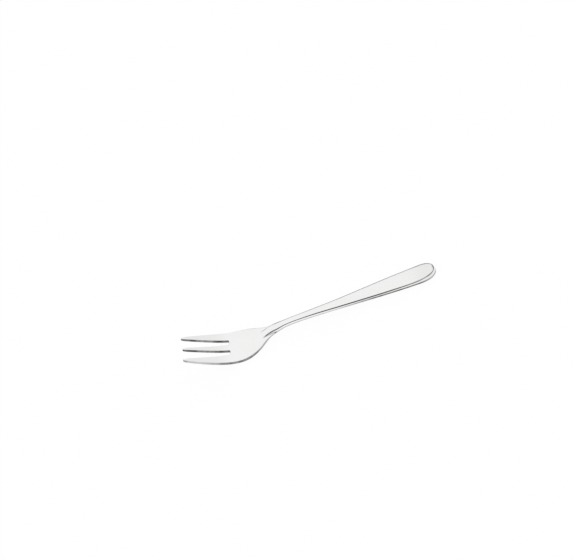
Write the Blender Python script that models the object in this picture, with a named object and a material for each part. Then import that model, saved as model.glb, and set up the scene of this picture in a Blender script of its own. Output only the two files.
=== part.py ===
"""Three-tined appetizer fork, lying on a table with its hollow side up.

The fork is described flat and then bent. A place on it is a station, the distance along the underside
from the tine tips, a distance across, and a height above the underside. Two bends, one in the palm and
one in the neck, turn the flat fork into its side view, and the fork is then laid down on its palm and
the end of its handle. Metres, +X towards the end of the handle, +Z up.
"""

import math

import bmesh
import bpy
import numpy as np
from mathutils import Matrix, Vector

# Lengths along the underside
TINE_LENGTH = 0.0272  # tips to the bottoms of the slots
PALM_LENGTH = 0.0295  # slot bottoms to the neck
NECK_LENGTH = 0.0175  # palm to the straight handle
HANDLE_LENGTH = 0.0804

# Widths
HEAD_WIDTH = 0.0218  # palm at its widest
WIDEST_SETBACK = 0.0020  # from the slot bottoms back to the widest place
TIP_SPREAD = 0.0172  # over the tips of the two outer tines
NECK_ROOT_WIDTH = 0.0073  # where the neck leaves the palm
NECK_WIDTH = 0.0044  # at its narrowest
HANDLE_WIDTH = 0.0119
SHOULDER_FULLNESS = 1.525  # above 1, the palm stays wide for longer before it narrows
SHOULDER_SETBACK = 0.0009  # the shoulders end this far before the neck
ROOT_LEAD = 0.0031  # the root of the neck begins to narrow this far before the neck
ROOT_RUN = 0.0119  # and narrows over this length
FLARE_LEAD = 0.0070  # the neck begins to widen this far before the straight handle
FLARE_SETBACK = 0.0076  # the handle has its full width this far before its end
END_ROUNDING = 0.0090  # length of the rounded end of the handle

# Tines and slots
MIDDLE_TINE_WIDTH = 0.0042  # at the slot bottoms
SLOT_WIDTH = 0.0032  # at the slot bottoms
SLOT_END_ROUNDING = 0.0011  # length of the rounded bottom of a slot
TINE_TIP_WIDTH = 0.0014
TINE_TIP_ROUNDING = 0.0012  # length of the rounded tip of a tine

# Thicknesses and edges
TINE_TIP_THICKNESS = 0.0018
PALM_THICKNESS = 0.0021
STEM_HEIGHT = 0.0033  # top of the handle, above the line of the palm's underside
NECK_RISE = 0.00035  # how much higher the top of the neck is
NECK_RISE_LEAD = 0.0060  # this rise goes on so far along the handle
NECK_RISE_RUN = 0.0200  # and fades over this length
NECK_THINNING = 0.00125  # how far the underside is raised at the neck
END_THINNING = 0.0004  # how far it is raised at the end of the handle
STEM_RUN_OUT = 0.0105  # how far the thick stem runs on over the palm before it fades
STEM_ON_PALM_WIDTH = 0.0050
SIDE_LEAN = 0.0003  # how far the side of the stem leans in at the top
SHOULDER_STEP = 0.0012  # a shoulder this wide beside the stem has a full step up to it
STEM_EDGE_ROUND = 0.0005
PALM_EDGE_ROUND = 0.0003
TINE_EDGE_ROUND = 0.00025

# Bends, as the turn in degrees and the length over which it is spread
TINE_CURL = 5.0
PALM_BEND = 42.0
PALM_BEND_RUN = 0.0323
PALM_BEND_LEAD = 0.0095  # the palm bend begins this far before the slot bottoms
NECK_BEND = 14.3
NECK_BEND_RUN = 0.0258

# Where the one blank is parted into nodes
PALM_STUB = 0.0024  # the palm holds this much of each tine
PARTING_GAP = 0.0003
CUTTER_REACH = 0.0010  # how far a slot cutter reaches past the palm

STEEL_COLOUR = (0.80, 0.80, 0.79, 1.0)
STEEL_ROUGHNESS = 0.12

# Stations that follow from the lengths
SLOT_BOTTOM = TINE_LENGTH
WIDEST = SLOT_BOTTOM + WIDEST_SETBACK
NECK_START = SLOT_BOTTOM + PALM_LENGTH
HANDLE_START = NECK_START + NECK_LENGTH
END = HANDLE_START + HANDLE_LENGTH
FLARE_START = HANDLE_START - FLARE_LEAD
SHOULDER_END = NECK_START - SHOULDER_SETBACK
TINE_PARTING = SLOT_BOTTOM - PALM_STUB

OUTER_TIP_INSIDE = TIP_SPREAD / 2 - TINE_TIP_WIDTH


def ease(value, start, end):
    """0 before start, 1 after end, and a smooth step between them."""
    part = min(max((value - start) / (end - start), 0.0), 1.0)
    return part * part * (3.0 - 2.0 * part)


def blend(first, second, share):
    return first + (second - first) * share


# Side view


def slope(station):
    """Slope of the underside, before the fork is laid down."""
    palm_start = SLOT_BOTTOM - PALM_BEND_LEAD
    turn = TINE_CURL * ease(station, 0.0, SLOT_BOTTOM)
    turn += PALM_BEND * ease(station, palm_start, palm_start + PALM_BEND_RUN)
    turn -= NECK_BEND * ease(station, HANDLE_START - NECK_BEND_RUN, HANDLE_START)
    return math.radians(turn)


class SideView:
    """The underside seen from the side, at a tilt."""

    STEPS = 1200

    def __init__(self, tilt):
        self.tilt = tilt
        self.stations = np.linspace(0.0, END, self.STEPS + 1)
        middles = (self.stations[1:] + self.stations[:-1]) / 2
        turns = np.array([slope(station) + tilt for station in middles])
        step = END / self.STEPS
        self.x = np.concatenate([[0.0], np.cumsum(np.cos(turns)) * step])
        self.z = np.concatenate([[0.0], np.cumsum(np.sin(turns)) * step])

    def place(self, station, across, height):
        turn = slope(station) + self.tilt
        x = np.interp(station, self.stations, self.x) - height * math.sin(turn)
        z = np.interp(station, self.stations, self.z) + height * math.cos(turn)
        return Vector((x, across, z))


def end_rounding(station):
    """How far the top and the underside have come together at the rounded rim of the handle's end."""
    inside = max(STEM_EDGE_ROUND - (END - station), 0.0)
    return STEM_EDGE_ROUND - math.sqrt(STEM_EDGE_ROUND**2 - inside**2)


def rest_tilt():
    """The tilt at which the palm and the end of the handle touch the table together."""
    low, high = math.radians(-60.0), 0.0
    raised = np.array([thinning(station) for station in SideView(0.0).stations])
    for _ in range(50):
        tilt = (low + high) / 2
        view = SideView(tilt)
        underside = view.z + raised
        flat = view.stations <= END - STEM_EDGE_ROUND
        head = view.stations < HANDLE_START
        if underside[head].min() < underside[flat & ~head].min():
            high = tilt
        else:
            low = tilt
    return (low + high) / 2


# Plan view


def half_width(station):
    """From the middle line to the outline of the palm, neck and handle, and of the outer tines."""
    widest = HEAD_WIDTH / 2
    if station <= WIDEST:
        ahead = 1.0 - station / WIDEST
        return blend(widest, TIP_SPREAD / 2, ahead * ahead)
    root_start = NECK_START - ROOT_LEAD
    neck = blend(NECK_ROOT_WIDTH, NECK_WIDTH, ease(station, root_start, root_start + ROOT_RUN)) / 2
    if station <= FLARE_START:
        share = min((station - WIDEST) / (SHOULDER_END - WIDEST), 1.0)
        return blend(widest, neck, ease(share**SHOULDER_FULLNESS, 0.0, 1.0))
    width = blend(neck, HANDLE_WIDTH / 2, ease(station, FLARE_START, END - FLARE_SETBACK))
    past = max(station - (END - END_ROUNDING), 0.0) / END_ROUNDING
    return width * math.sqrt(max(1.0 - past * past, 0.0))


def middle_half_width(station):
    """Half the width of the middle tine, which is also where each slot begins."""
    return blend(TINE_TIP_WIDTH / 2, MIDDLE_TINE_WIDTH / 2, station / SLOT_BOTTOM)


def outer_inside(station):
    """From the middle line to the inner side of an outer tine, where each slot ends."""
    root = MIDDLE_TINE_WIDTH / 2 + SLOT_WIDTH
    return blend(OUTER_TIP_INSIDE, root, station / SLOT_BOTTOM)


def plate_thickness(station):
    ahead = max(1.0 - station / SLOT_BOTTOM, 0.0)
    return blend(PALM_THICKNESS, TINE_TIP_THICKNESS, ahead * ahead)


def thinning(station):
    """How far the underside is raised: not under the palm, most at the neck, and less along the handle."""
    along_handle = max((station - HANDLE_START) / HANDLE_LENGTH, 0.0)
    return blend(NECK_THINNING, END_THINNING, along_handle) * ease(station, NECK_START - STEM_RUN_OUT, NECK_START)


def stem_height(station):
    """The top of the neck and handle, a little higher at the neck."""
    fade_start = HANDLE_START + NECK_RISE_LEAD
    return STEM_HEIGHT + NECK_RISE * (1.0 - ease(station, fade_start, fade_start + NECK_RISE_RUN))


def stem_half_width(station):
    """Half the width of the stem's flat top, which on the palm stops following the outline."""
    width = half_width(station)
    outline = width - min(SIDE_LEAN, 0.2 * width)
    sharpness = 8
    both = outline**-sharpness + (STEM_ON_PALM_WIDTH / 2) ** -sharpness
    return blend(both ** (-1 / sharpness), outline, ease(station, NECK_START, HANDLE_START))


# Cross-sections, as rings of (across, height)


def corner(across, height, radius_across, radius_height):
    """Three points that round off a corner: before it, on the arc, and after it."""
    cut = 1.0 - math.sqrt(0.5)
    return [
        (across - radius_across, height),
        (across - cut * radius_across, height - cut * radius_height),
        (across, height - radius_height),
    ]


def stem_section(station):
    """The palm, neck and handle: a plate with a thicker stem on it, which in the handle is all there is."""
    width = half_width(station)
    plate = plate_thickness(station)
    run_out = ease(station, NECK_START - STEM_RUN_OUT, NECK_START)
    closing = end_rounding(station)
    floor = thinning(station) + closing
    ceiling = plate + (stem_height(station) - PALM_THICKNESS) * run_out - closing
    stem = stem_half_width(station)
    shoulder = width - stem
    edge = min(blend(PALM_EDGE_ROUND, STEM_EDGE_ROUND, run_out), 0.4 * width)
    lip = min(PALM_EDGE_ROUND, 0.35 * shoulder)
    side_top = min(STEM_EDGE_ROUND, 0.5 * stem)
    drop = min(side_top, 0.45 * (ceiling - plate))

    underside = [(across, floor - height) for across, height in corner(width, 0.0, edge, edge)]
    rim = corner(width, plate, lip, lip)[::-1]
    top = corner(stem, ceiling, side_top, drop)[::-1]
    foot_lean = ((rim[-1][0] + top[0][0]) / 2, (rim[-1][1] + top[0][1]) / 2)
    foot_step = (stem + lip, plate)
    step = ease(shoulder, SIDE_LEAN, SHOULDER_STEP)
    foot = (blend(foot_lean[0], foot_step[0], step), blend(foot_lean[1], foot_step[1], step))

    right = underside + rim + [foot] + top
    left = [(-across, height) for across, height in reversed(right)]
    return [(0.0, floor)] + right + [(0.0, ceiling)] + left


def tine_section(station, inner, outer):
    """A bar with rounded edges between two distances across, smaller within the rounded tip."""
    thickness = plate_thickness(station)
    middle, half = (inner + outer) / 2, (outer - inner) / 2
    ahead = max(1.0 - station / TINE_TIP_ROUNDING, 0.0)
    size = math.sqrt(max(1.0 - ahead * ahead, 0.0))
    half *= size
    lift = thickness * (1.0 - size) * 0.3
    bottom, top = lift, thickness - lift
    edge = min(TINE_EDGE_ROUND, 0.4 * half)
    upper = corner(half, top, edge, edge)
    lower = [(across, bottom + top - height) for across, height in upper]
    right = lower + upper[::-1]
    left = [(-across, height) for across, height in reversed(right)]
    return [(middle + across, height) for across, height in right + left]


# Modelling


def spread(start, end, spacing):
    """Stations from start to end, evenly spaced and no further apart than the spacing."""
    count = max(math.ceil((end - start) / spacing), 1)
    return [blend(start, end, index / count) for index in range(count + 1)]


def rounding(length, count):
    """Distances from a rounded end, which close up on it and stop just short of it."""
    turns = [math.pi / 2 * index / (count + 0.4) for index in range(1, count + 1)]
    return [length * (1.0 - math.sin(turn)) for turn in turns]


def extrude_along(name, view, stations, section):
    """Fills the first section, then extrudes it from station to station."""
    mesh = bmesh.new()
    ring = [mesh.verts.new(view.place(stations[0], *point)) for point in section(stations[0])]
    first = cap = mesh.faces.new(ring)
    for station in stations[1:]:
        before = {tuple(vert.co): index for index, vert in enumerate(ring)}
        made = bmesh.ops.extrude_face_region(mesh, geom=[cap])["geom"]
        if cap is not first:
            bmesh.ops.delete(mesh, geom=[cap], context="FACES_ONLY")
        cap = next(item for item in made if isinstance(item, bmesh.types.BMFace))
        moved = {before[tuple(vert.co)]: vert for vert in cap.verts}
        ring = [moved[index] for index in range(len(ring))]
        for vert, point in zip(ring, section(station)):
            vert.co = view.place(station, *point)
    return finish(name, mesh)


def slot_cutter(name, view, side):
    """A block through the palm, as wide as the slot and with a rounded end."""
    front = TINE_PARTING - CUTTER_REACH
    back = SLOT_BOTTOM - SLOT_END_ROUNDING
    inner, outer = middle_half_width(back), outer_inside(back)
    middle, half = (inner + outer) / 2, (outer - inner) / 2
    outline = [(front, middle_half_width(front)), (back, inner)]
    for index in range(1, 8):
        turn = math.pi * index / 8
        outline.append((back + SLOT_END_ROUNDING * math.sin(turn), middle - half * math.cos(turn)))
    outline += [(back, outer), (front, outer_inside(front))]

    mesh = bmesh.new()
    low, high = -CUTTER_REACH, PALM_THICKNESS + CUTTER_REACH
    floor = mesh.faces.new([mesh.verts.new((station, side * across, low)) for station, across in outline])
    made = bmesh.ops.extrude_face_region(mesh, geom=[floor])["geom"]
    for vert in (item for item in made if isinstance(item, bmesh.types.BMVert)):
        vert.co.z = high
    for vert in mesh.verts:
        vert.co = view.place(*vert.co)
    cutter = finish(name, mesh)
    cutter.hide_render = True
    cutter.display_type = "WIRE"
    return cutter


def finish(name, mesh):
    """Makes an object of the mesh, with its faces turned outwards and its rounded edges smooth."""
    bmesh.ops.recalc_face_normals(mesh, faces=mesh.faces[:])
    data = bpy.data.meshes.new(name)
    mesh.to_mesh(data)
    mesh.free()
    data.shade_smooth()
    data.set_sharp_from_angle(angle=math.radians(50.0))
    part = bpy.data.objects.new(name, data)
    bpy.context.scene.collection.objects.link(part)
    return part


def steel(part):
    material = bpy.data.materials.new(part.name + "_steel")
    material.use_nodes = True
    shader = material.node_tree.nodes["Principled BSDF"]
    shader.inputs["Base Color"].default_value = STEEL_COLOUR
    shader.inputs["Metallic"].default_value = 1.0
    shader.inputs["Roughness"].default_value = STEEL_ROUGHNESS
    part.data.materials.append(material)


def stand_on_origin(parts):
    """Moves the fork so that the origin is the middle of the bottom of the box around it."""
    points = [vert.co for part in parts for vert in part.data.vertices]
    middle = (min(point.x for point in points) + max(point.x for point in points)) / 2
    bottom = min(point.z for point in points)
    for thing in bpy.data.objects:
        thing.data.transform(Matrix.Translation((-middle, 0.0, -bottom)))


def build():
    for thing in list(bpy.data.objects):
        bpy.data.objects.remove(thing, do_unlink=True)

    view = SideView(rest_tilt())
    half_gap = PARTING_GAP / 2

    tine_stations = rounding(TINE_TIP_ROUNDING, 4)[::-1]
    tine_stations += spread(TINE_TIP_ROUNDING, TINE_PARTING - half_gap, 0.0020)
    tine_edges = {
        "left_tine": lambda station: (-half_width(station), -outer_inside(station)),
        "middle_tine": lambda station: (-middle_half_width(station), middle_half_width(station)),
        "right_tine": lambda station: (outer_inside(station), half_width(station)),
    }
    parts = []
    for name, edges in tine_edges.items():
        section = lambda station, edges=edges: tine_section(station, *edges(station))
        parts.append(extrude_along(name, view, tine_stations, section))

    palm_stations = spread(TINE_PARTING + half_gap, NECK_START - half_gap, 0.0012)
    palm = extrude_along("palm", view, palm_stations, stem_section)
    for side, name in ((-1, "left_slot"), (1, "right_slot")):
        cut = palm.modifiers.new(name, "BOOLEAN")
        cut.operation = "DIFFERENCE"
        cut.solver = "EXACT"
        cut.object = slot_cutter(name + "_cutter", view, side)
    parts.append(palm)

    neck_stations = spread(NECK_START + half_gap, HANDLE_START - half_gap, 0.0015)
    parts.append(extrude_along("neck", view, neck_stations, stem_section))

    handle_stations = spread(HANDLE_START + half_gap, END - END_ROUNDING, 0.0032)
    handle_stations += [END - distance for distance in rounding(END_ROUNDING, 9)]
    parts.append(extrude_along("handle", view, handle_stations, stem_section))

    for part in parts:
        steel(part)
    stand_on_origin(parts)


build()
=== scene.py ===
# %% [markdown]
# # A three-tined appetizer fork of polished steel
#
# The packed model comes first, and everything is fitted to it. The real fork is one piece of stainless
# steel that is pressed, trimmed and polished until it mirrors the room. A mirror shows every facet, so
# the steel is modelled again here with soft edges and then parted into the same six pieces as the packed
# model, without its gaps.

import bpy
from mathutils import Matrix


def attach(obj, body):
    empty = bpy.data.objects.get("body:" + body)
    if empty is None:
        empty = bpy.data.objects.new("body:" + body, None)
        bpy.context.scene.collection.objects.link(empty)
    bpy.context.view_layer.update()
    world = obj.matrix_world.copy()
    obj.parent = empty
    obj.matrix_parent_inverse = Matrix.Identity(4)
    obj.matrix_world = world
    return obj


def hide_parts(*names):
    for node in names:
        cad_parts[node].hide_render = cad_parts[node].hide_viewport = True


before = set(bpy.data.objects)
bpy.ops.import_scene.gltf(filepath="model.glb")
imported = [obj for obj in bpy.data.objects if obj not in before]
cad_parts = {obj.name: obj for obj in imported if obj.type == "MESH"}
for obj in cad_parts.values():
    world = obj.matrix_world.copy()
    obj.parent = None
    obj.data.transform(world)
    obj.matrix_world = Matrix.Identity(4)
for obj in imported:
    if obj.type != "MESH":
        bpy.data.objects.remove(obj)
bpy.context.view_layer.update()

# %% [markdown]
# ## The camera
#
# The fork is seen from its left side and from above, tines to the left, with a long lens that keeps it
# nearly free of perspective. The camera is turned about its own axis as well, so that the handle climbs
# to the right. A camera looks along its own -Z, so its three axes are worked out first and then written
# into its matrix.

# %% The camera
import math

import bpy
from mathutils import Matrix, Vector

AZIMUTH, ELEVATION, ROLL = math.radians(19.4026), math.radians(45.3189), math.radians(-36.2676)
DISTANCE = 0.91329
TARGET = Vector((-0.00909, 0.02731, 0.00911))

backward = Vector((math.sin(AZIMUTH), -math.cos(AZIMUTH), 0.0)) * math.cos(ELEVATION)
backward.z = math.sin(ELEVATION)
level = Vector((0.0, 0.0, 1.0)).cross(backward).normalized()
upright = backward.cross(level)
right = level * math.cos(ROLL) + upright * math.sin(ROLL)
above = upright * math.cos(ROLL) - level * math.sin(ROLL)

bpy.ops.object.camera_add()
camera = bpy.context.object
camera.data.lens = 100.0
camera.data.sensor_width = 36.0
camera.data.sensor_fit = "HORIZONTAL"
turned = Matrix((right, above, backward)).transposed().to_4x4()
camera.matrix_world = Matrix.Translation(TARGET + backward * DISTANCE) @ turned
bpy.context.scene.camera = camera
print("camera at", tuple(round(value, 4) for value in camera.location))

# %% [markdown]
# ## The sizes
#
# A fork is easiest to describe flat. A place on it is a station, counted along the underside from the
# tine tips, a distance across, and a height above the underside. The side view is then the underside
# followed step by step with its slope: the tines come down to the table, the palm bends up, and the neck
# bends back into the handle. Nothing on a pressed fork changes all at once, so every change along it is a
# smooth step. Lengths are in metres and bends in degrees. Two numbers in brackets are the start and end
# of a smooth step, and four are a stretch that starts, is whole, fades and ends.


# %% Smooth steps
def ease(value, start, end):
    """0 before start, 1 after end, and a smooth step between them."""
    part = min(max((value - start) / (end - start), 0.0), 1.0)
    return part * part * (3.0 - 2.0 * part)


def within(value, start, whole, fading, end):
    """0 before start, 1 from whole to fading, 0 after end, and smooth steps between them."""
    return ease(value, start, whole) * (1.0 - ease(value, fading, end))


def blend(first, second, share):
    """The value that lies this share of the way from the first to the second."""
    return first + (second - first) * share


print("a smooth step in quarters:", [ease(quarter, 0, 4) for quarter in range(5)])

# %% The side view
SLOT_BOTTOM, NECK_START, HANDLE_START, END = 0.0272, 0.0567, 0.0742, 0.1546
LYING_TILT, TINE_BEND, PALM_BEND, NECK_BEND = -35.2803, 5.0, 42.0, -14.3
PALM_BEND_START, PALM_BEND_END = SLOT_BOTTOM - 0.0095, SLOT_BOTTOM + 0.0228
NECK_BEND_START = HANDLE_START - 0.0258
TIPS = Vector((-0.0751319, 0.0, 0.0164383))
STEP, SPARE_STEPS = 0.0001, 10


def slope(station):
    """How steeply the underside climbs at a station, as an angle."""
    turn = LYING_TILT + TINE_BEND * ease(station, 0.0, SLOT_BOTTOM)
    turn += PALM_BEND * ease(station, PALM_BEND_START, PALM_BEND_END)
    turn += NECK_BEND * ease(station, NECK_BEND_START, HANDLE_START)
    return math.radians(turn)


underside = [TIPS]
for index in range(round(END / STEP) + SPARE_STEPS):
    turn = slope((index + 0.5) * STEP)
    underside.append(underside[-1] + Vector((math.cos(turn), 0.0, math.sin(turn))) * STEP)


def place(station, across, height):
    """The point of the bent fork for a place on the flat one."""
    index = min(max(int(station / STEP), 0), len(underside) - 2)
    point = underside[index].lerp(underside[index + 1], station / STEP - index)
    turn = slope(station)
    return point + Vector((-height * math.sin(turn), across, height * math.cos(turn)))


print("end of the handle at", tuple(round(value, 5) for value in place(END, 0.0, 0.0)))

# %% The plan view
WIDEST, SHOULDER_END, ROOT_START, ROOT_END = 0.0292, 0.0558, 0.0536, 0.0655
FLARE_START, FLARE_END, END_ROUNDING = 0.0672, 0.1470, 0.0090
HEAD_HALF, TIPS_HALF, ROOT_HALF, NECK_HALF, HANDLE_HALF = 0.0109, 0.0086, 0.00365, 0.0022, 0.00595
MIDDLE_TINE_HALF, SLOT_OUTSIDE, TIP_WIDTH = 0.0021, 0.0053, 0.0014
SHOULDER_FULLNESS, END_FULLNESS = 1.525, 2.25


def half_width(station):
    """From the middle line to the outline. The end is fuller than an ellipse, whose fullness is 2."""
    if station <= WIDEST:
        return blend(HEAD_HALF, TIPS_HALF, (1.0 - station / WIDEST) ** 2)
    neck = blend(ROOT_HALF, NECK_HALF, ease(station, ROOT_START, ROOT_END))
    if station <= FLARE_START:
        share = min((station - WIDEST) / (SHOULDER_END - WIDEST), 1.0)
        return blend(HEAD_HALF, neck, ease(share**SHOULDER_FULLNESS, 0.0, 1.0))
    width = blend(neck, HANDLE_HALF, ease(station, FLARE_START, FLARE_END))
    past = max(station - (END - END_ROUNDING), 0.0) / END_ROUNDING
    return width * max(1.0 - past**END_FULLNESS, 0.0) ** (1 / END_FULLNESS)


samples = (0.0, SLOT_BOTTOM, NECK_START, HANDLE_START, FLARE_END)
print("half widths in mm:", [round(half_width(station) * 1000, 2) for station in samples])

# %% The thickness
TIP_THICKNESS, PALM_THICKNESS, STEM_HEIGHT = 0.0018, 0.0021, 0.0033
NECK_RISE, NECK_RISE_FADE = 0.00035, (HANDLE_START + 0.006, HANDLE_START + 0.026)
END_RISE, END_RAMP = 0.0005, (0.1425, 0.1495)
NECK_THINNING, END_THINNING = 0.00125, 0.0004
RIDGE_START, RIDGE_HALF, RIDGE_SHARPNESS = NECK_START - 0.0105, 0.0025, 8
TOP_SHARE, TOP_INSET = 0.8, 0.0003


def plate_thickness(station):
    """The thickness of the palm and of the tines, which get thinner towards their tips."""
    return blend(PALM_THICKNESS, TIP_THICKNESS, max(1.0 - station / SLOT_BOTTOM, 0.0) ** 2)


def stem_rise(station):
    """0 on the thin palm, 1 on the thick neck and handle."""
    return ease(station, RIDGE_START, NECK_START)


def stem_height(station):
    """The top of the neck and handle, a little higher at the neck and at the end."""
    neck = NECK_RISE * (1.0 - ease(station, *NECK_RISE_FADE))
    return STEM_HEIGHT + neck + END_RISE * ease(station, *END_RAMP)


def top_height(station):
    """The top of the steel along the middle line."""
    return plate_thickness(station) + (stem_height(station) - PALM_THICKNESS) * stem_rise(station)


def thinning(station):
    """How far the underside is raised: nothing on the palm, most at the neck, and less towards the end."""
    along_handle = max((station - HANDLE_START) / (END - HANDLE_START), 0.0)
    return blend(NECK_THINNING, END_THINNING, along_handle) * stem_rise(station)


def stem_half_width(station):
    """Half the flat top of the stem. On the palm it leaves the outline and stays a narrow ridge."""
    outline = max(half_width(station) * TOP_SHARE, half_width(station) - TOP_INSET)
    ridge = (outline**-RIDGE_SHARPNESS + RIDGE_HALF**-RIDGE_SHARPNESS) ** (-1 / RIDGE_SHARPNESS)
    return blend(ridge, outline, ease(station, NECK_START, HANDLE_START))


thicknesses = [top_height(station) - thinning(station) for station in samples]
print("thicknesses in mm:", [round(thickness * 1000, 2) for thickness in thicknesses])

# %% [markdown]
# ## The blank, extruded row by row
#
# A real fork starts as a blank that is cut from sheet and rolled thin at the head. Here it starts as the
# cross-section at the bottoms of the slots, five upright faces side by side: tine, slot, tine, slot,
# tine. Extruding all five backwards, row by row, draws the palm, the neck and the handle, and each row is
# moved to its place on the side view and spread to its width. A profile swept along a curve would be
# quicker, but its section stays the same, and this one turns from a flat plate into a thick stem. Every
# point keeps a number that says which corner of the section it is, and an extruded copy inherits it, so
# that each row knows where its points go.

# %% The points of a cross-section
INNER_ON_PALM, OUTER_ON_PALM = 0.42, 0.72
RIM_LEVEL, FOOT_LEVEL = 0.31, 0.55
FOOT_BESIDE_RIDGE, FOOT_INSET, FOOT_LIMIT = 0.00035, 0.00005, 0.6
PALM_BESIDE_STEM = (0.0003, 0.0012)


def section(station):
    """The right-hand points of a cross-section, from underneath round to the top, and their mirror images.

    Three points lie underneath. On the palm, the rim is the upper edge of the outline, and foot and edge
    are the bottom and the top of the ridge. On neck and handle no palm is left beside the stem, and rim and
    foot move up its side.
    """
    width, stem = half_width(station), stem_half_width(station)
    low, plate, top = thinning(station), plate_thickness(station), top_height(station)
    back = ease(station, SLOT_BOTTOM, RIDGE_START)
    side = 1.0 - ease(width - stem, *PALM_BESIDE_STEM)
    inner = width * blend(MIDDLE_TINE_HALF / HEAD_HALF, INNER_ON_PALM, back)
    outer = width * blend(SLOT_OUTSIDE / HEAD_HALF, OUTER_ON_PALM, back)
    rim = (width, blend(plate, blend(low, top, RIM_LEVEL), side))
    foot_on_palm = min(blend(SLOT_OUTSIDE, stem + FOOT_BESIDE_RIDGE, back), blend(stem, width, FOOT_LIMIT))
    foot_across = blend(foot_on_palm, width - FOOT_INSET, side)
    foot = (foot_across, blend(plate, blend(low, top, FOOT_LEVEL), side))
    edge = (blend(MIDDLE_TINE_HALF, stem, back), top)
    points = [(inner, low), (outer, low), (width, low), rim, foot, edge]
    return points + [(-across, height) for across, height in points]


print("points of a section:", len(section(SLOT_BOTTOM)))

# %% The cross-section at the slots
import bmesh

LOWER_ROW, UPPER_ROW = (8, 7, 6, 0, 1, 2), (9, 10, 11, 5, 4, 3)
FIRST_SIZE, FIRST_HEIGHT = 0.01, 0.001

bpy.ops.object.select_all(action="DESELECT")
bpy.ops.mesh.primitive_grid_add(
    x_subdivisions=5,
    y_subdivisions=1,
    size=FIRST_SIZE,
    location=place(SLOT_BOTTOM, 0.0, FIRST_HEIGHT),
    rotation=(math.pi / 2, 0.0, math.pi / 2),
)
steel = bpy.context.object
steel.name = "fork_steel"
bpy.ops.object.transform_apply(location=True, rotation=True, scale=True)
bpy.ops.object.mode_set(mode="EDIT")
bpy.ops.mesh.select_mode(type="VERT")

blank = bmesh.from_edit_mesh(steel.data)
corner = blank.verts.layers.int.new("corner")
by_height = sorted(blank.verts, key=lambda vert: vert.co.z)
lower, upper = by_height[:len(LOWER_ROW)], by_height[len(LOWER_ROW):]
for row, numbers in ((lower, LOWER_ROW), (upper, UPPER_ROW)):
    for vert, number in zip(sorted(row, key=lambda vert: vert.co.y), numbers):
        vert[corner] = number
print("section:", len(blank.verts), "points,", len(blank.faces), "faces")


# %% Extruding a row
def pick(items):
    """Selects these points or faces and nothing else."""
    bpy.ops.mesh.select_all(action="DESELECT")
    for item in items:
        item.select_set(True)


def carry(vert, goal):
    """Moves one point to its place."""
    pick([vert])
    bpy.ops.transform.translate(value=goal - vert.co)


def next_row(faces, station, points):
    """Extrudes faces, then carries the new row of points to a station. Returns the faces at the new end."""
    pick(faces)
    bpy.ops.mesh.extrude_region_move()
    blank = bmesh.from_edit_mesh(steel.data)
    corner = blank.verts.layers.int["corner"]
    faces = [face for face in blank.faces if face.select]
    for vert in [vert for vert in blank.verts if vert.select]:
        carry(vert, place(station, *points[vert[corner]]))
    return faces


for vert in list(blank.verts):
    carry(vert, place(SLOT_BOTTOM, *section(SLOT_BOTTOM)[vert[corner]]))
print("first row at station", SLOT_BOTTOM)

# %% Palm, neck and handle
PALM_ROWS, NECK_ROWS, HANDLE_ROWS, END_TURNS = 15, 8, 20, (22.0, 42.0, 60.0)
CAP_HALF, CAP_INSET, CAP_BULGE = 0.0016, 0.00015, 0.00028


def spread(start, end, count):
    """Stations at equal distances, up to the end."""
    return [blend(start, end, index / count) for index in range(1, count + 1)]


stations = spread(SLOT_BOTTOM, NECK_START, PALM_ROWS) + spread(NECK_START, HANDLE_START, NECK_ROWS)
stations += spread(HANDLE_START, END - END_ROUNDING, HANDLE_ROWS)
stations += [END - END_ROUNDING * (1.0 - math.sin(math.radians(turn))) for turn in END_TURNS]
ends = list(blank.faces)
for station in stations:
    ends = next_row(ends, station, section(station))

cap_share = CAP_HALF / half_width(stations[-1])
cap = [(across * cap_share, height) for across, height in section(stations[-1])]
ends = next_row(ends, END - CAP_INSET, cap)
for vert in dict.fromkeys(vert for face in ends for vert in face.verts):
    bulge = CAP_BULGE * (1.0 - (vert.co.y / CAP_HALF) ** 2)
    carry(vert, vert.co + Vector((bulge, 0.0, 0.0)))
blank = bmesh.from_edit_mesh(steel.data)
print("stem:", len(blank.verts), "points,", len(blank.faces), "faces")

# %% [markdown]
# ## The tines
#
# On the real fork the slots are punched out of the head. Cutting them out of the mesh would leave ragged
# faces, so the tines grow instead: the faces of the first section that belong to a tine are extruded
# forwards, one tine at a time, and the two slot faces stay behind as the bottoms of the slots. A first
# row close to these keeps the corners of the slots square when the steel is smoothed. The tines taper in
# width and in thickness, and the outer two lean in towards the middle one at their outer edges.

# %% The three tines
TINE_ROWS = (0.0267, 0.0245, 0.0205, 0.0160, 0.0115, 0.0070, 0.0032)
OUTER_TIP, MIDDLE_TIP = -0.0005, -0.0002
TIP_LENGTH, TIP_NARROWING, TIP_LIFT = 0.0013, 0.6, 0.3


def tine_points(station, narrowing=1.0):
    """Where each corner of the section is on the tines at a station."""
    thickness = plate_thickness(station)
    middle = blend(TIP_WIDTH / 2, MIDDLE_TINE_HALF, station / SLOT_BOTTOM) * narrowing
    inner = blend(TIPS_HALF - TIP_WIDTH, SLOT_OUTSIDE, station / SLOT_BOTTOM)
    outer = half_width(station)
    centre, half = (inner + outer) / 2, (outer - inner) / 2 * narrowing
    lift = thickness * (1.0 - narrowing) * TIP_LIFT
    points = [(middle, lift), (centre - half, lift), (centre + half, lift)]
    points += [(across, thickness - lift) for across, height in reversed(points)]
    return points + [(-across, height) for across, height in points]


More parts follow.
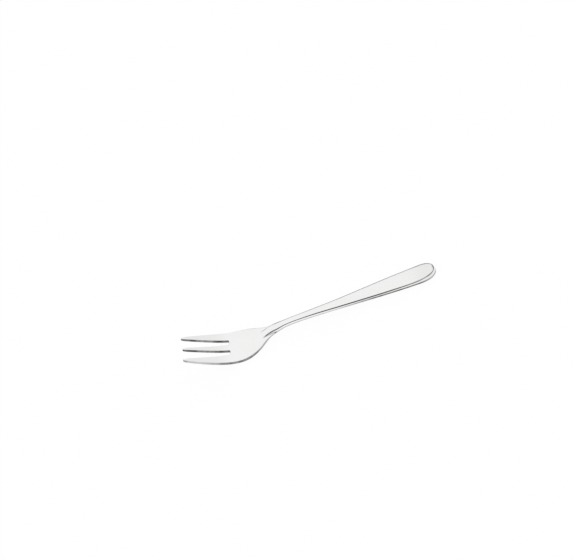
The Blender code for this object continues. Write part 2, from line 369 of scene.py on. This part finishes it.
for side, tip in ((-1, OUTER_TIP), (0, MIDDLE_TIP), (1, OUTER_TIP)):
    blank = bmesh.from_edit_mesh(steel.data)
    goal = place(SLOT_BOTTOM, side * (SLOT_OUTSIDE + HEAD_HALF) / 2, PALM_THICKNESS / 2)
    tine = [min(blank.faces, key=lambda face: (face.calc_center_median() - goal).length)]
    for station in (*TINE_ROWS, tip + TIP_LENGTH):
        tine = next_row(tine, station, tine_points(station))
    tine = next_row(tine, tip, tine_points(0.0, TIP_NARROWING))
blank = bmesh.from_edit_mesh(steel.data)
print("with tines:", len(blank.verts), "points,", len(blank.faces), "faces")

# %% [markdown]
# ## Rounded edges
#
# No edge of a polished fork is sharp: the wheel takes it off. The tines and the palm keep a small round,
# and the stem has a wide one along its top, which changes along the fork. A Bevel modifier with one width
# would be too coarse for the tines, so it works by weight here, and every edge says how much of the full
# round it gets. Edges that run across the stem only join one row to the next, and hollow ones are out of
# the wheel's reach, so these get none. Two levels of Subdivision Surface then make the coarse blank into
# smooth steel.

# %% From a point back to its station
HALVINGS = 30


def along(station):
    """The direction of the underside at a station."""
    turn = slope(station)
    return Vector((math.cos(turn), 0.0, math.sin(turn)))


def station_of(point):
    """The station whose place on the underside is nearest below a point, found by halving."""
    low, high = 0.0, END
    for _ in range(HALVINGS):
        middle = (low + high) / 2
        if (point - place(middle, point.y, 0.0)).dot(along(middle)) > 0.0:
            low = middle
        else:
            high = middle
    return (low + high) / 2


print("station above the slots:", round(station_of(place(SLOT_BOTTOM, 0.0, PALM_THICKNESS)), 5))

# %% How round the edges are
ROUND_MOST = 0.0010
PLATE_ROUND, LOWER_ROUND, UPPER_ROUND, RIM_ROUND = 0.00014, 0.0006, 0.0008, 0.0002
LOWER_GROWTH, UPPER_GROWTH = (0.045, 0.065), (0.046, 0.055)
LOWER_LESS, LOWER_LESS_AT_END = 0.00025, (0.147, 0.151)
HELD_MORE, HELD_STRETCH = 0.0002, (0.110, 0.119, 0.130, 0.138)
NECK_LESS, NECK_STRETCH = 0.0005, (0.059, 0.064, 0.072, 0.079)
RAMP_LESS, RAMP_STRETCH = 0.0004, (0.138, 0.142, 0.144, 0.148)
END_LESS, LESS_AT_END = 0.0001, (0.150, 0.153)


def upper_round(station):
    """The round along the stem's top: wider where it is held, smaller in the neck and at the end's ramp."""
    size = blend(PLATE_ROUND, UPPER_ROUND, ease(station, *UPPER_GROWTH))
    size += HELD_MORE * within(station, *HELD_STRETCH)
    size -= NECK_LESS * within(station, *NECK_STRETCH)
    size -= RAMP_LESS * within(station, *RAMP_STRETCH)
    return size - END_LESS * ease(station, *LESS_AT_END)


def lower_round(station):
    """The round along the lower edges, which is smaller again where it goes round the end."""
    size = blend(PLATE_ROUND, LOWER_ROUND, ease(station, *LOWER_GROWTH))
    return size - LOWER_LESS * ease(station, *LOWER_LESS_AT_END)


print("rounds on top in mm:", [round(upper_round(station) * 1000, 2) for station in samples])

# %% The bevel weights
RIM, CORNERS_ON_A_SIDE = 3, 6
LEAST_ANGLE, LEAST_ANGLE_AT_RIM = math.radians(30.0), math.radians(8.0)
UPRIGHT_RISE, BEHIND_SLOTS, BEFORE_CAP = 0.7, SLOT_BOTTOM + 0.002, END - 0.001
ABOVE_PALM, ABOVE_UNDERSIDE = PALM_THICKNESS + 0.0001, 0.0005


def edge_round(edge, numbers):
    """The round of one edge of the blank, from its place and the numbers of its two corners."""
    on_rim = all(number % CORNERS_ON_A_SIDE == RIM for number in numbers)
    if edge.calc_face_angle() < (LEAST_ANGLE_AT_RIM if on_rim else LEAST_ANGLE) or not edge.is_convex:
        return 0.0
    first, second = (vert.co for vert in edge.verts)
    middle = (first + second) / 2
    station = station_of(middle)
    upright = abs((first - second).normalized().z) > UPRIGHT_RISE
    crosswise = numbers[0] != numbers[1] and station < BEFORE_CAP
    if station > BEHIND_SLOTS and (upright or crosswise):
        return 0.0
    height = (middle - place(station, middle.y, 0.0)).length
    if height > ABOVE_PALM:
        return upper_round(station)
    if height > thinning(station) + ABOVE_UNDERSIDE:
        return min(lower_round(station), RIM_ROUND)
    return lower_round(station)


bpy.ops.mesh.select_all(action="SELECT")
bpy.ops.mesh.normals_make_consistent(inside=False)
blank = bmesh.from_edit_mesh(steel.data)
blank.normal_update()
weight = blank.edges.layers.float.new("bevel_weight_edge")
corner = blank.verts.layers.int["corner"]
for edge in blank.edges:
    edge[weight] = edge_round(edge, [vert[corner] for vert in edge.verts]) / ROUND_MOST
print("edges to round:", sum(edge[weight] > 0.0 for edge in blank.edges), "of", len(blank.edges))
bmesh.update_edit_mesh(steel.data)
bpy.ops.object.mode_set(mode="OBJECT")

# %% The smooth steel
SMOOTH_BELOW = math.radians(40.0)

bevel = steel.modifiers.new("edges", "BEVEL")
bevel.limit_method = "WEIGHT"
bevel.width = ROUND_MOST
bevel.segments = 3
bevel.use_clamp_overlap = False
smooth = steel.modifiers.new("smooth", "SUBSURF")
smooth.levels = smooth.render_levels = 2
for modifier in ("edges", "smooth"):
    bpy.ops.object.modifier_apply(modifier=modifier)
bpy.ops.object.shade_smooth_by_angle(angle=SMOOTH_BELOW)
steel_size = tuple(round(value, 5) for value in steel.dimensions)
print("smooth steel:", len(steel.data.polygons), "faces, size", steel_size)

# %% [markdown]
# ## What the finish needs to know
#
# The wheel polishes the broad faces of a fork, but it hardly gets into the slots or down the trimmed edges,
# so these are a little duller. Their dark colour, the dark band low on the stem's sides, the creases beside
# the ridge and the dark line round the end of the handle are painted shade: the dark reflections of the
# rounded edges and the shade in the creases are painted into the colour. The material can't work out where
# they are, and a painted image would need a flat layout of the whole skin. So every point keeps two
# attributes instead: its place on the flat fork, which makes the polishing lines follow the bends, and how
# much painted shade, partly for the cut edge, it gets there.

# %% The slots and the trimmed rim
SLOT_DEPTH, SLOT_END = (0.0004, 0.0008), (SLOT_BOTTOM + 0.0004, SLOT_BOTTOM + 0.001)
# The slot walls and tips are painted dark: partly duller trimmed steel, mostly painted shade for their dark
# reflection.
SLOT_SHADE_LESS, SLOT_SHADE_LESS_STRETCH = 0.2, (0.007, 0.012, 0.015, 0.020)
TIP_SHADE_AND_CUT, TIP_FADE = 0.6, (0.0010, 0.0035)
# The rim is painted dark: partly duller trimmed steel, mostly painted shade for the dark reflection on its
# wall.
TINE_RIM_SHADE, PALM_RIM_SHADE, RIM_DARKENING = 0.38, 0.85, (0.010, 0.026)
LOW_WALL_BAND, BAND_APPEARS = (0.0001, 0.0006, 0.0012, 0.0018), (0.036, 0.046)
SHOULDER_SHARE, SHOULDER_FADE, RIM_END = 0.65, (0.044, 0.050), (0.055, 0.059)


def slot_shade_and_cut(station, inside):
    """How dark the slot walls and the tips are painted: duller trimmed steel, and painted shade for their
    dark reflection, a little less halfway along the tines.
    """
    slot = ease(inside, *SLOT_DEPTH) * (1.0 - ease(station, *SLOT_END))
    slot *= 1.0 - SLOT_SHADE_LESS * within(station, *SLOT_SHADE_LESS_STRETCH)
    return max(slot, TIP_SHADE_AND_CUT * (1.0 - ease(station, *TIP_FADE)))


def rim_shade_and_cut(station, rise):
    """How dark the rim of the head is painted: duller trimmed steel, and painted shade for its dark
    reflection. On its shoulders only a band low on the wall is painted.
    """
    band = blend(1.0, within(rise, *LOW_WALL_BAND), ease(station, *BAND_APPEARS))
    fade = blend(1.0, SHOULDER_SHARE, ease(station, *SHOULDER_FADE)) * (1.0 - ease(station, *RIM_END))
    return blend(TINE_RIM_SHADE, PALM_RIM_SHADE, ease(station, *RIM_DARKENING)) * band * fade


rim_shades_and_cuts = [rim_shade_and_cut(station, PALM_THICKNESS / 2) for station in samples]
print("rim halfway up, front to back:", [round(shade_and_cut, 2) for shade_and_cut in rim_shades_and_cuts])

# %% The stem's side, its creases and its end
STEM_BEGINS = (NECK_START - 0.004, NECK_START + 0.002)
# The band low on the stem's sides is painted shade, for the dark reflection of the floor beneath the fork.
LOW_BAND, TALL_BAND, BAND_GROWTH, BAND_FADE = 0.0006, 0.0011, (0.092, 0.118), 0.0007
SIDE_DEPTH, NECK_SIDE_SHADE, HANDLE_SIDE_SHADE, SIDE_DARKENING = (0.0003, 0.0006), 0.55, 0.95, (0.092, 0.125)
END_SIDE_LESS, END_SIDE_FADE = 0.4, (0.146, 0.152)
# The creases beside the stem get painted shade.
CREASE_STRETCH, CREASE_LEVEL = (0.0485, 0.0525, 0.0555, 0.060), (0.1, 0.3)
CREASE_WIDTH = (-0.0006, -0.0003, -0.0001, 0.0004)
# The round at the handle's end gets painted shade: a dark line for its dark reflection, and a darker
# stretch on the right.
RING_SHADE, RING_LEVELS, RING_APPEARS = 0.9, (0.45, 0.65, 0.975, 0.995), (0.139, 0.1535)
RIGHT_END_SHADE, RIGHT_END_APPEARS, RIGHT_END_ACROSS = 0.5, (0.141, 0.148), (-0.002, 0.002)
RIGHT_END_LEVEL, RIGHT_END_WIDTH = (0.55, 0.70), (0.0008, 0.0016)


def side_painted_shade(station, inside, rise):
    """Painted shade in a band low on the side of the stem, for the dark reflection of the floor beneath it,
    which gets taller and darker along the handle.
    """
    tall = blend(LOW_BAND, TALL_BAND, ease(station, *BAND_GROWTH))
    band = (1.0 - ease(rise, tall, tall + BAND_FADE)) * (1.0 - ease(inside, *SIDE_DEPTH))
    dark = blend(NECK_SIDE_SHADE, HANDLE_SIDE_SHADE, ease(station, *SIDE_DARKENING))
    return ease(station, *STEM_BEGINS) * band * (dark - END_SIDE_LESS * ease(station, *END_SIDE_FADE))


def crease_painted_shade(station, across, level):
    """Painted shade in the creases beside the stem, where it runs out on the palm."""
    beyond = abs(across) - stem_half_width(station)
    return within(station, *CREASE_STRETCH) * ease(level, *CREASE_LEVEL) * within(beyond, *CREASE_WIDTH)


def end_painted_shade(station, across, inside, level):
    """Painted shade on the round at the handle's end: a dark line along it all, for the dark reflection in
    the round, and a darker stretch on the right.
    """
    ring = RING_SHADE * within(level, *RING_LEVELS) * ease(station, *RING_APPEARS)
    right_end_shade = RIGHT_END_SHADE * ease(station, *RIGHT_END_APPEARS) * ease(across, *RIGHT_END_ACROSS) * ease(level, *RIGHT_END_LEVEL)
    return max(ring, right_end_shade * (1.0 - ease(min(inside, END - station), *RIGHT_END_WIDTH)))


print("foot of the side, front to back:", [round(side_painted_shade(station, 0.0, 0.0), 2) for station in samples])

# %% Two attributes: the flat place and the painted shade
WALL_TOP, WALL_FOOT = (0.35, 0.80), (0.75, 0.97)


def cut_edge(station, across, height, level):
    """How much painted shade a place on the flat fork gets, partly for unpolished steel. Level is 1 on top,
    0 on a wall and -1 underneath.
    """
    inside = half_width(station) - abs(across)
    rise = height - thinning(station)
    wall = (1.0 - ease(level, *WALL_TOP)) * (1.0 - ease(-level, *WALL_FOOT))
    walls = wall * max(slot_shade_and_cut(station, inside), rim_shade_and_cut(station, rise), side_painted_shade(station, inside, rise))
    return max(walls, crease_painted_shade(station, across, level), end_painted_shade(station, across, inside, level))


# The second attribute says how much painted shade, partly for unpolished cut edges, each point gets.
steel.data.attributes.new("flat_place", "FLOAT_VECTOR", "POINT")
steel.data.attributes.new("cut_edge", "FLOAT", "POINT")
flat_places, shades_and_cuts = (steel.data.attributes[name].data for name in ("flat_place", "cut_edge"))
for vert, flat, shade_and_cut in zip(steel.data.vertices, flat_places, shades_and_cuts):
    station = station_of(vert.co)
    turn = slope(station)
    upwards = Vector((-math.sin(turn), 0.0, math.cos(turn)))
    height = (vert.co - place(station, vert.co.y, 0.0)).dot(upwards)
    flat.vector = (station, vert.co.y, height)
    shade_and_cut.value = cut_edge(station, vert.co.y, height, vert.normal.dot(upwards))
print("points with some cut edge:", sum(shade_and_cut.value > 0.0 for shade_and_cut in shades_and_cuts), "of", len(shades_and_cuts))

# %% [markdown]
# ## Six named pieces
#
# The packed model keeps tines, palm, neck and handle apart, so the skin is parted at the same stations.
# Pieces that are modelled one by one would show a seam in the mirror. So they are cut from the one smooth
# skin, which keeps its curve across every cut: Bisect cuts a copy of the steel with a plane and fills the
# cut, and two cuts leave one piece. The pieces meet face to face, so that the fork still looks like the
# one piece it is.

# %% Parting the steel
TINE_PARTING = SLOT_BOTTOM - 0.0024


def cut_piece(name, start, end):
    """A copy of the steel between two stations."""
    bpy.ops.object.select_all(action="DESELECT")
    steel.select_set(True)
    bpy.context.view_layer.objects.active = steel
    bpy.ops.object.duplicate()
    piece = bpy.context.object
    piece.name = piece.data.name = name
    bpy.ops.object.mode_set(mode="EDIT")
    for station, keep_after in ((start, True), (end, False)):
        if station is None:
            continue
        bpy.ops.mesh.select_all(action="SELECT")
        bpy.ops.mesh.bisect(
            plane_co=place(station, 0.0, 0.0),
            plane_no=along(station),
            use_fill=True,
            clear_inner=keep_after,
            clear_outer=not keep_after,
        )
    bpy.ops.object.mode_set(mode="OBJECT")
    bpy.ops.object.shade_smooth_by_angle(angle=SMOOTH_BELOW)
    return piece


tines = cut_piece("tines_steel", None, TINE_PARTING)
pieces = {
    "palm": cut_piece("palm_steel", TINE_PARTING, NECK_START),
    "neck": cut_piece("neck_steel", NECK_START, HANDLE_START),
    "handle": cut_piece("handle_steel", HANDLE_START, None),
}
print("parted:", [piece.name for piece in (tines, *pieces.values())])

# %% The pieces and the nodes they replace
bpy.ops.object.select_all(action="DESELECT")
tines.select_set(True)
bpy.context.view_layer.objects.active = tines
bpy.ops.mesh.separate(type="LOOSE")
from_left = sorted(bpy.context.selected_objects, key=lambda piece: piece.data.vertices[0].co.y)
for node, piece in zip(("left_tine", "middle_tine", "right_tine"), from_left):
    piece.name = piece.data.name = node + "_steel"
    pieces[node] = piece
bpy.data.objects.remove(steel)

for node, piece in pieces.items():
    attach(piece, "root")
    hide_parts(node)
    print(piece.name, len(piece.data.polygons), "faces")

# %% [markdown]
# ## Shader sums in Python
#
# A finish is a sum of patterns, and a sum is easier to read as Python than as a tangle of nodes. This
# small class wraps the output of a node. Adding or multiplying two of them adds the Math node that does
# so, and `1 - mask` works too. Every other node comes from the one method `node`, which takes its type,
# its settings and its inputs.


# %% Shader sums
class Socket:
    """The output of a node, which can stand in a Python sum."""

    def __init__(self, link):
        self.link = link

    @classmethod
    def node(cls, tree, kind, settings=None, inputs=None, output=0):
        """Adds a node, sets it up, fills its sockets with values or links, and returns an output."""
        made = tree.nodes.new(kind)
        for name, value in (settings or {}).items():
            setattr(made, name, value)
        for name, value in (inputs or {}).items():
            if isinstance(value, cls):
                tree.links.new(value.link, made.inputs[name])
            else:
                made.inputs[name].default_value = value
        return cls(made.outputs[output])

    def sum(self, operation, *values):
        """A Math node on these values."""
        inputs = dict(enumerate(values))
        return self.node(self.link.id_data, "ShaderNodeMath", {"operation": operation}, inputs)

    def __add__(self, other):
        return self.sum("ADD", self, other)

    def __sub__(self, other):
        return self.sum("SUBTRACT", self, other)

    def __rsub__(self, other):
        return self.sum("SUBTRACT", other, self)

    def __mul__(self, other):
        return self.sum("MULTIPLY", self, other)

    __radd__ = __add__
    __rmul__ = __mul__

    def highest(self, other):
        """The higher of two values."""
        return self.sum("MAXIMUM", self, other)

    def step(self, start, end):
        """0 below start, 1 above end, and a smooth step between them."""
        settings, inputs = {"interpolation_type": "SMOOTHSTEP"}, {"Value": self, 1: start, 2: end}
        return self.node(self.link.id_data, "ShaderNodeMapRange", settings, inputs)

    def within(self, start, whole, fading, end):
        """0 below start, 1 from whole to fading, 0 above end, and smooth steps between them."""
        return self.step(start, whole) * (1 - self.step(fading, end))


node = Socket.node
print("sums that work:", [name for name in vars(Socket) if name.endswith(("add__", "sub__", "mul__"))])

# %% [markdown]
# ## Polished stainless steel
#
# Mirror-polished steel is a metal with very little roughness, and what is left of the polishing makes it
# look real: fine lines along the fork, a few short scratches, and broad clouds where it was handled. All
# three are noise that is stretched along the flat fork, which follows the bends and has no seams. The
# levels of a pattern say where in the noise it starts and where it is whole: high ones leave a few
# scratches. The cut edges show short strokes across their thickness and are duller, in patches, and the
# dark reflections along the edges are painted into their colour as painted shade. The end of the handle
# is rougher because it is held there, and the darker reflection near its end is painted shade too.

# %% The patterns of the polish
SCRATCH_LEVELS, CLOUD_LEVELS = (0.64, 0.74), (0.30, 0.70)
STROKE_LEVELS, PATCH_LEVELS = (0.30, 0.70), (0.35, 0.65)
HELD_FROM = (0.090, 0.150)

polished = bpy.data.materials.new("polished_stainless")
polished.use_nodes = True
tree = polished.node_tree
flat_place = node(tree, "ShaderNodeAttribute", {"attribute_name": "flat_place"}, output="Vector")
station = node(tree, "ShaderNodeSeparateXYZ", None, {0: flat_place}, output="X")


def grain(lengthwise, crosswise, detail):
    """Noise with so many waves to the metre along the flat fork, and across and through it."""
    scale = (lengthwise, crosswise, crosswise)
    scaled = node(tree, "ShaderNodeMapping", None, {"Vector": flat_place, "Scale": scale})
    return node(tree, "ShaderNodeTexNoise", None, {"Vector": scaled, "Scale": 1.0, "Detail": detail})


lines = grain(lengthwise=60.0, crosswise=2600.0, detail=3.0)
scratches = grain(lengthwise=420.0, crosswise=5200.0, detail=1.0).step(*SCRATCH_LEVELS)
clouds = grain(lengthwise=45.0, crosswise=90.0, detail=2.0).step(*CLOUD_LEVELS)
strokes = grain(lengthwise=2800.0, crosswise=250.0, detail=2.0).step(*STROKE_LEVELS)
patches = grain(lengthwise=260.0, crosswise=40.0, detail=1.0).step(*PATCH_LEVELS)
held = station.step(*HELD_FROM)
print("patterns:", len(tree.nodes), "nodes")

# %% The steel finish
GREYER, BRIGHTER = (0.866, 0.866, 0.861, 1.0), (0.884, 0.884, 0.879, 1.0)
# The handle's end gets a darker colour: painted shade for the darker reflection there.
DARKER_END, DARKER_END_FROM, DARKER_END_SHARE = (0.800, 0.800, 0.795, 1.0), (0.138, 0.150), 0.7
# The colours of the painted shade, which also stands for duller cut edges, in strokes.
SHADE_AND_CUT_DARK, SHADE_AND_CUT_PALE = (0.070, 0.070, 0.070, 1.0), (0.120, 0.120, 0.120, 1.0)
RELIEF_DEPTH = 0.0000015


def between(share, first, second):
    """A colour between two others. The colour inputs of a Mix node are 6 and 7, and its output is 2."""
    return node(tree, "ShaderNodeMix", {"data_type": "RGBA"}, {0: share, 6: first, 7: second}, output=2)


painted_shade_and_cut = node(tree, "ShaderNodeAttribute", {"attribute_name": "cut_edge"}, output="Fac")
# Painted shade: the attribute mixes the colour towards these dark colours for the dark reflections along
# the edges; it also makes the cut edges rougher.
shade_and_unpolished = painted_shade_and_cut * (0.86 + 0.20 * patches)
# The colour goes darker towards the handle's end, as painted shade.
mirror = between(DARKER_END_SHARE * station.step(*DARKER_END_FROM), between(clouds, GREYER, BRIGHTER), DARKER_END)
colour = between(shade_and_unpolished, mirror, between(strokes, SHADE_AND_CUT_DARK, SHADE_AND_CUT_PALE))
roughness = 0.055 + 0.04 * lines + 0.07 * scratches + 0.03 * clouds + 0.08 * held + 0.25 * shade_and_unpolished
relief = lines + 0.5 * scratches + 2.0 * shade_and_unpolished * strokes
bumps = node(tree, "ShaderNodeBump", None, {"Strength": 1.0, "Distance": RELIEF_DEPTH, "Height": relief})
shader = tree.nodes["Principled BSDF"]
shader.inputs["Metallic"].default_value = 1.0
for name, value in (("Base Color", colour), ("Roughness", roughness), ("Normal", bumps)):
    tree.links.new(value.link, shader.inputs[name])
for piece in pieces.values():
    piece.data.materials.clear()
    piece.data.materials.append(polished)
print("steel finish:", len(tree.nodes), "nodes on", len(pieces), "pieces")

# %% [markdown]
# ## The floor
#
# The fork lies on plain white paper. A white floor under soft light comes out a little grey, and more
# light would wash out the steel. So the paper also glows, but only for the rays of the camera and for
# those that the steel mirrors. The rest of it is ordinary matt white, which keeps the faint shadow under
# the fork.

# %% The floor
FLOOR_SIZE, FLOOR_LEVEL = 6.0, -0.0002
PAPER_WHITE, GLOW = (0.98, 0.98, 0.98, 1.0), 0.93

bpy.ops.object.select_all(action="DESELECT")
bpy.ops.mesh.primitive_plane_add(size=FLOOR_SIZE, location=(0.0, 0.0, FLOOR_LEVEL))
floor = bpy.context.object
floor.name = "floor"
white = bpy.data.materials.new("white_floor")
white.use_nodes = True
tree = white.node_tree
tree.nodes.clear()
kinds = ("Is Camera Ray", "Is Glossy Ray", "Is Transmission Ray")
camera_ray, mirrored_ray, clear_ray = (node(tree, "ShaderNodeLightPath", output=kind) for kind in kinds)
seen = camera_ray.highest(mirrored_ray).highest(clear_ray)
paper = node(tree, "ShaderNodeBsdfDiffuse", None, {"Color": PAPER_WHITE})
glow = node(tree, "ShaderNodeEmission", None, {"Strength": 1.0})
surface = node(tree, "ShaderNodeMixShader", None, {0: seen * GLOW, 1: paper, 2: glow})
tree.links.new(surface.link, tree.nodes.new("ShaderNodeOutputMaterial").inputs["Surface"])
floor.data.materials.append(white)
print("floor:", tuple(floor.dimensions))

# %% [markdown]
# ## The studio
#
# A mirror has no colour of its own: it shows the room. In an all-white room the fork would vanish on the
# white floor, so a photographer leaves some of the room dark. The rounded edges gather the dark parts
# into thin lines, and these draw the fork. Dark boards round the fork could do this, but they would shade
# it too. So the world is a white room here, and only mirrored rays see its dark parts: a tall narrow
# opening behind the camera, and a dark skirting with a card on the far wall, which a white gap parts. A
# corner on the right is a little grey. The left end of the dark wall and the two sides of the gap are
# upright planes through the fork, and each is given by the direction to its right.

# %% Directions in the studio
world = bpy.data.worlds.new("studio")
bpy.context.scene.world = world
world.use_nodes = True
tree = world.node_tree
tree.nodes.clear()
direction = node(tree, "ShaderNodeTexCoord", output="Generated")


def facing(*aim):
    """How far a direction points at an aim: 0 at right angles to it, and less than 0 away from it."""
    both = {0: direction, 1: aim}
    return node(tree, "ShaderNodeVectorMath", {"operation": "DOT_PRODUCT"}, both, output="Value")


to_right, to_far, to_top = facing(1.0, 0.0, 0.0), facing(0.0, 1.0, 0.0), facing(0.0, 0.0, 1.0)
print("directions:", len(tree.nodes), "nodes")

# %% The dark parts of the studio
OPENING_DARK, FAR_WALL_DARK, CORNER_DARK = 0.92, 0.94, 0.10
OPENING_AIM, OPENING_ENDS = (-0.10, -0.745, 0.66), (0.70, 0.92)
OPENING_SIDES = (-0.55, -0.42, -0.14, -0.04)
SKIRTING_TOP, SKIRTING_END = (0.40, 0.53), (0.0, 0.40)
CARD_AIM, CARD_SIDES, CARD_TOP = (-0.23, 0.97, 0.0), (0.70, 0.80), (0.54, 0.64)
GAP_LEFT, GAP_RIGHT, GAP_FADE = (1.0, -0.02, 0.0), (1.0, -0.58, 0.0), (0.0, 0.08)
WALL_LEFT, WALL_FADE = (0.838, 0.545, 0.0), (0.0, 0.12)
CORNER_SIDE, CORNER_TOP = (0.10, 0.45), (0.50, 0.74)

opening = facing(*OPENING_AIM).step(*OPENING_ENDS) * to_right.within(*OPENING_SIDES)
skirting = to_far.step(*SKIRTING_END) * (1 - to_top.step(*SKIRTING_TOP))
card = facing(*CARD_AIM).step(*CARD_SIDES) * (1 - to_top.step(*CARD_TOP))
white_gap = facing(*GAP_LEFT).step(*GAP_FADE) * (1 - facing(*GAP_RIGHT).step(*GAP_FADE))
far_wall = skirting.highest(card) * facing(*WALL_LEFT).step(*WALL_FADE) * (1 - white_gap)
grey_corner = to_right.step(*CORNER_SIDE) * (1 - to_top.step(*CORNER_TOP))
darkness = (OPENING_DARK * opening).highest(FAR_WALL_DARK * far_wall).highest(CORNER_DARK * grey_corner)
mirrored = node(tree, "ShaderNodeLightPath", output="Is Glossy Ray")
brightness = 1 - mirrored * darkness
light = node(tree, "ShaderNodeBackground", None, {"Color": (1.0, 1.0, 1.0, 1.0), "Strength": brightness})
tree.links.new(light.link, tree.nodes.new("ShaderNodeOutputWorld").inputs["Surface"])
bpy.context.scene.view_settings.view_transform = "Standard"
print("studio:", len(tree.nodes), "nodes")

# %% [markdown]
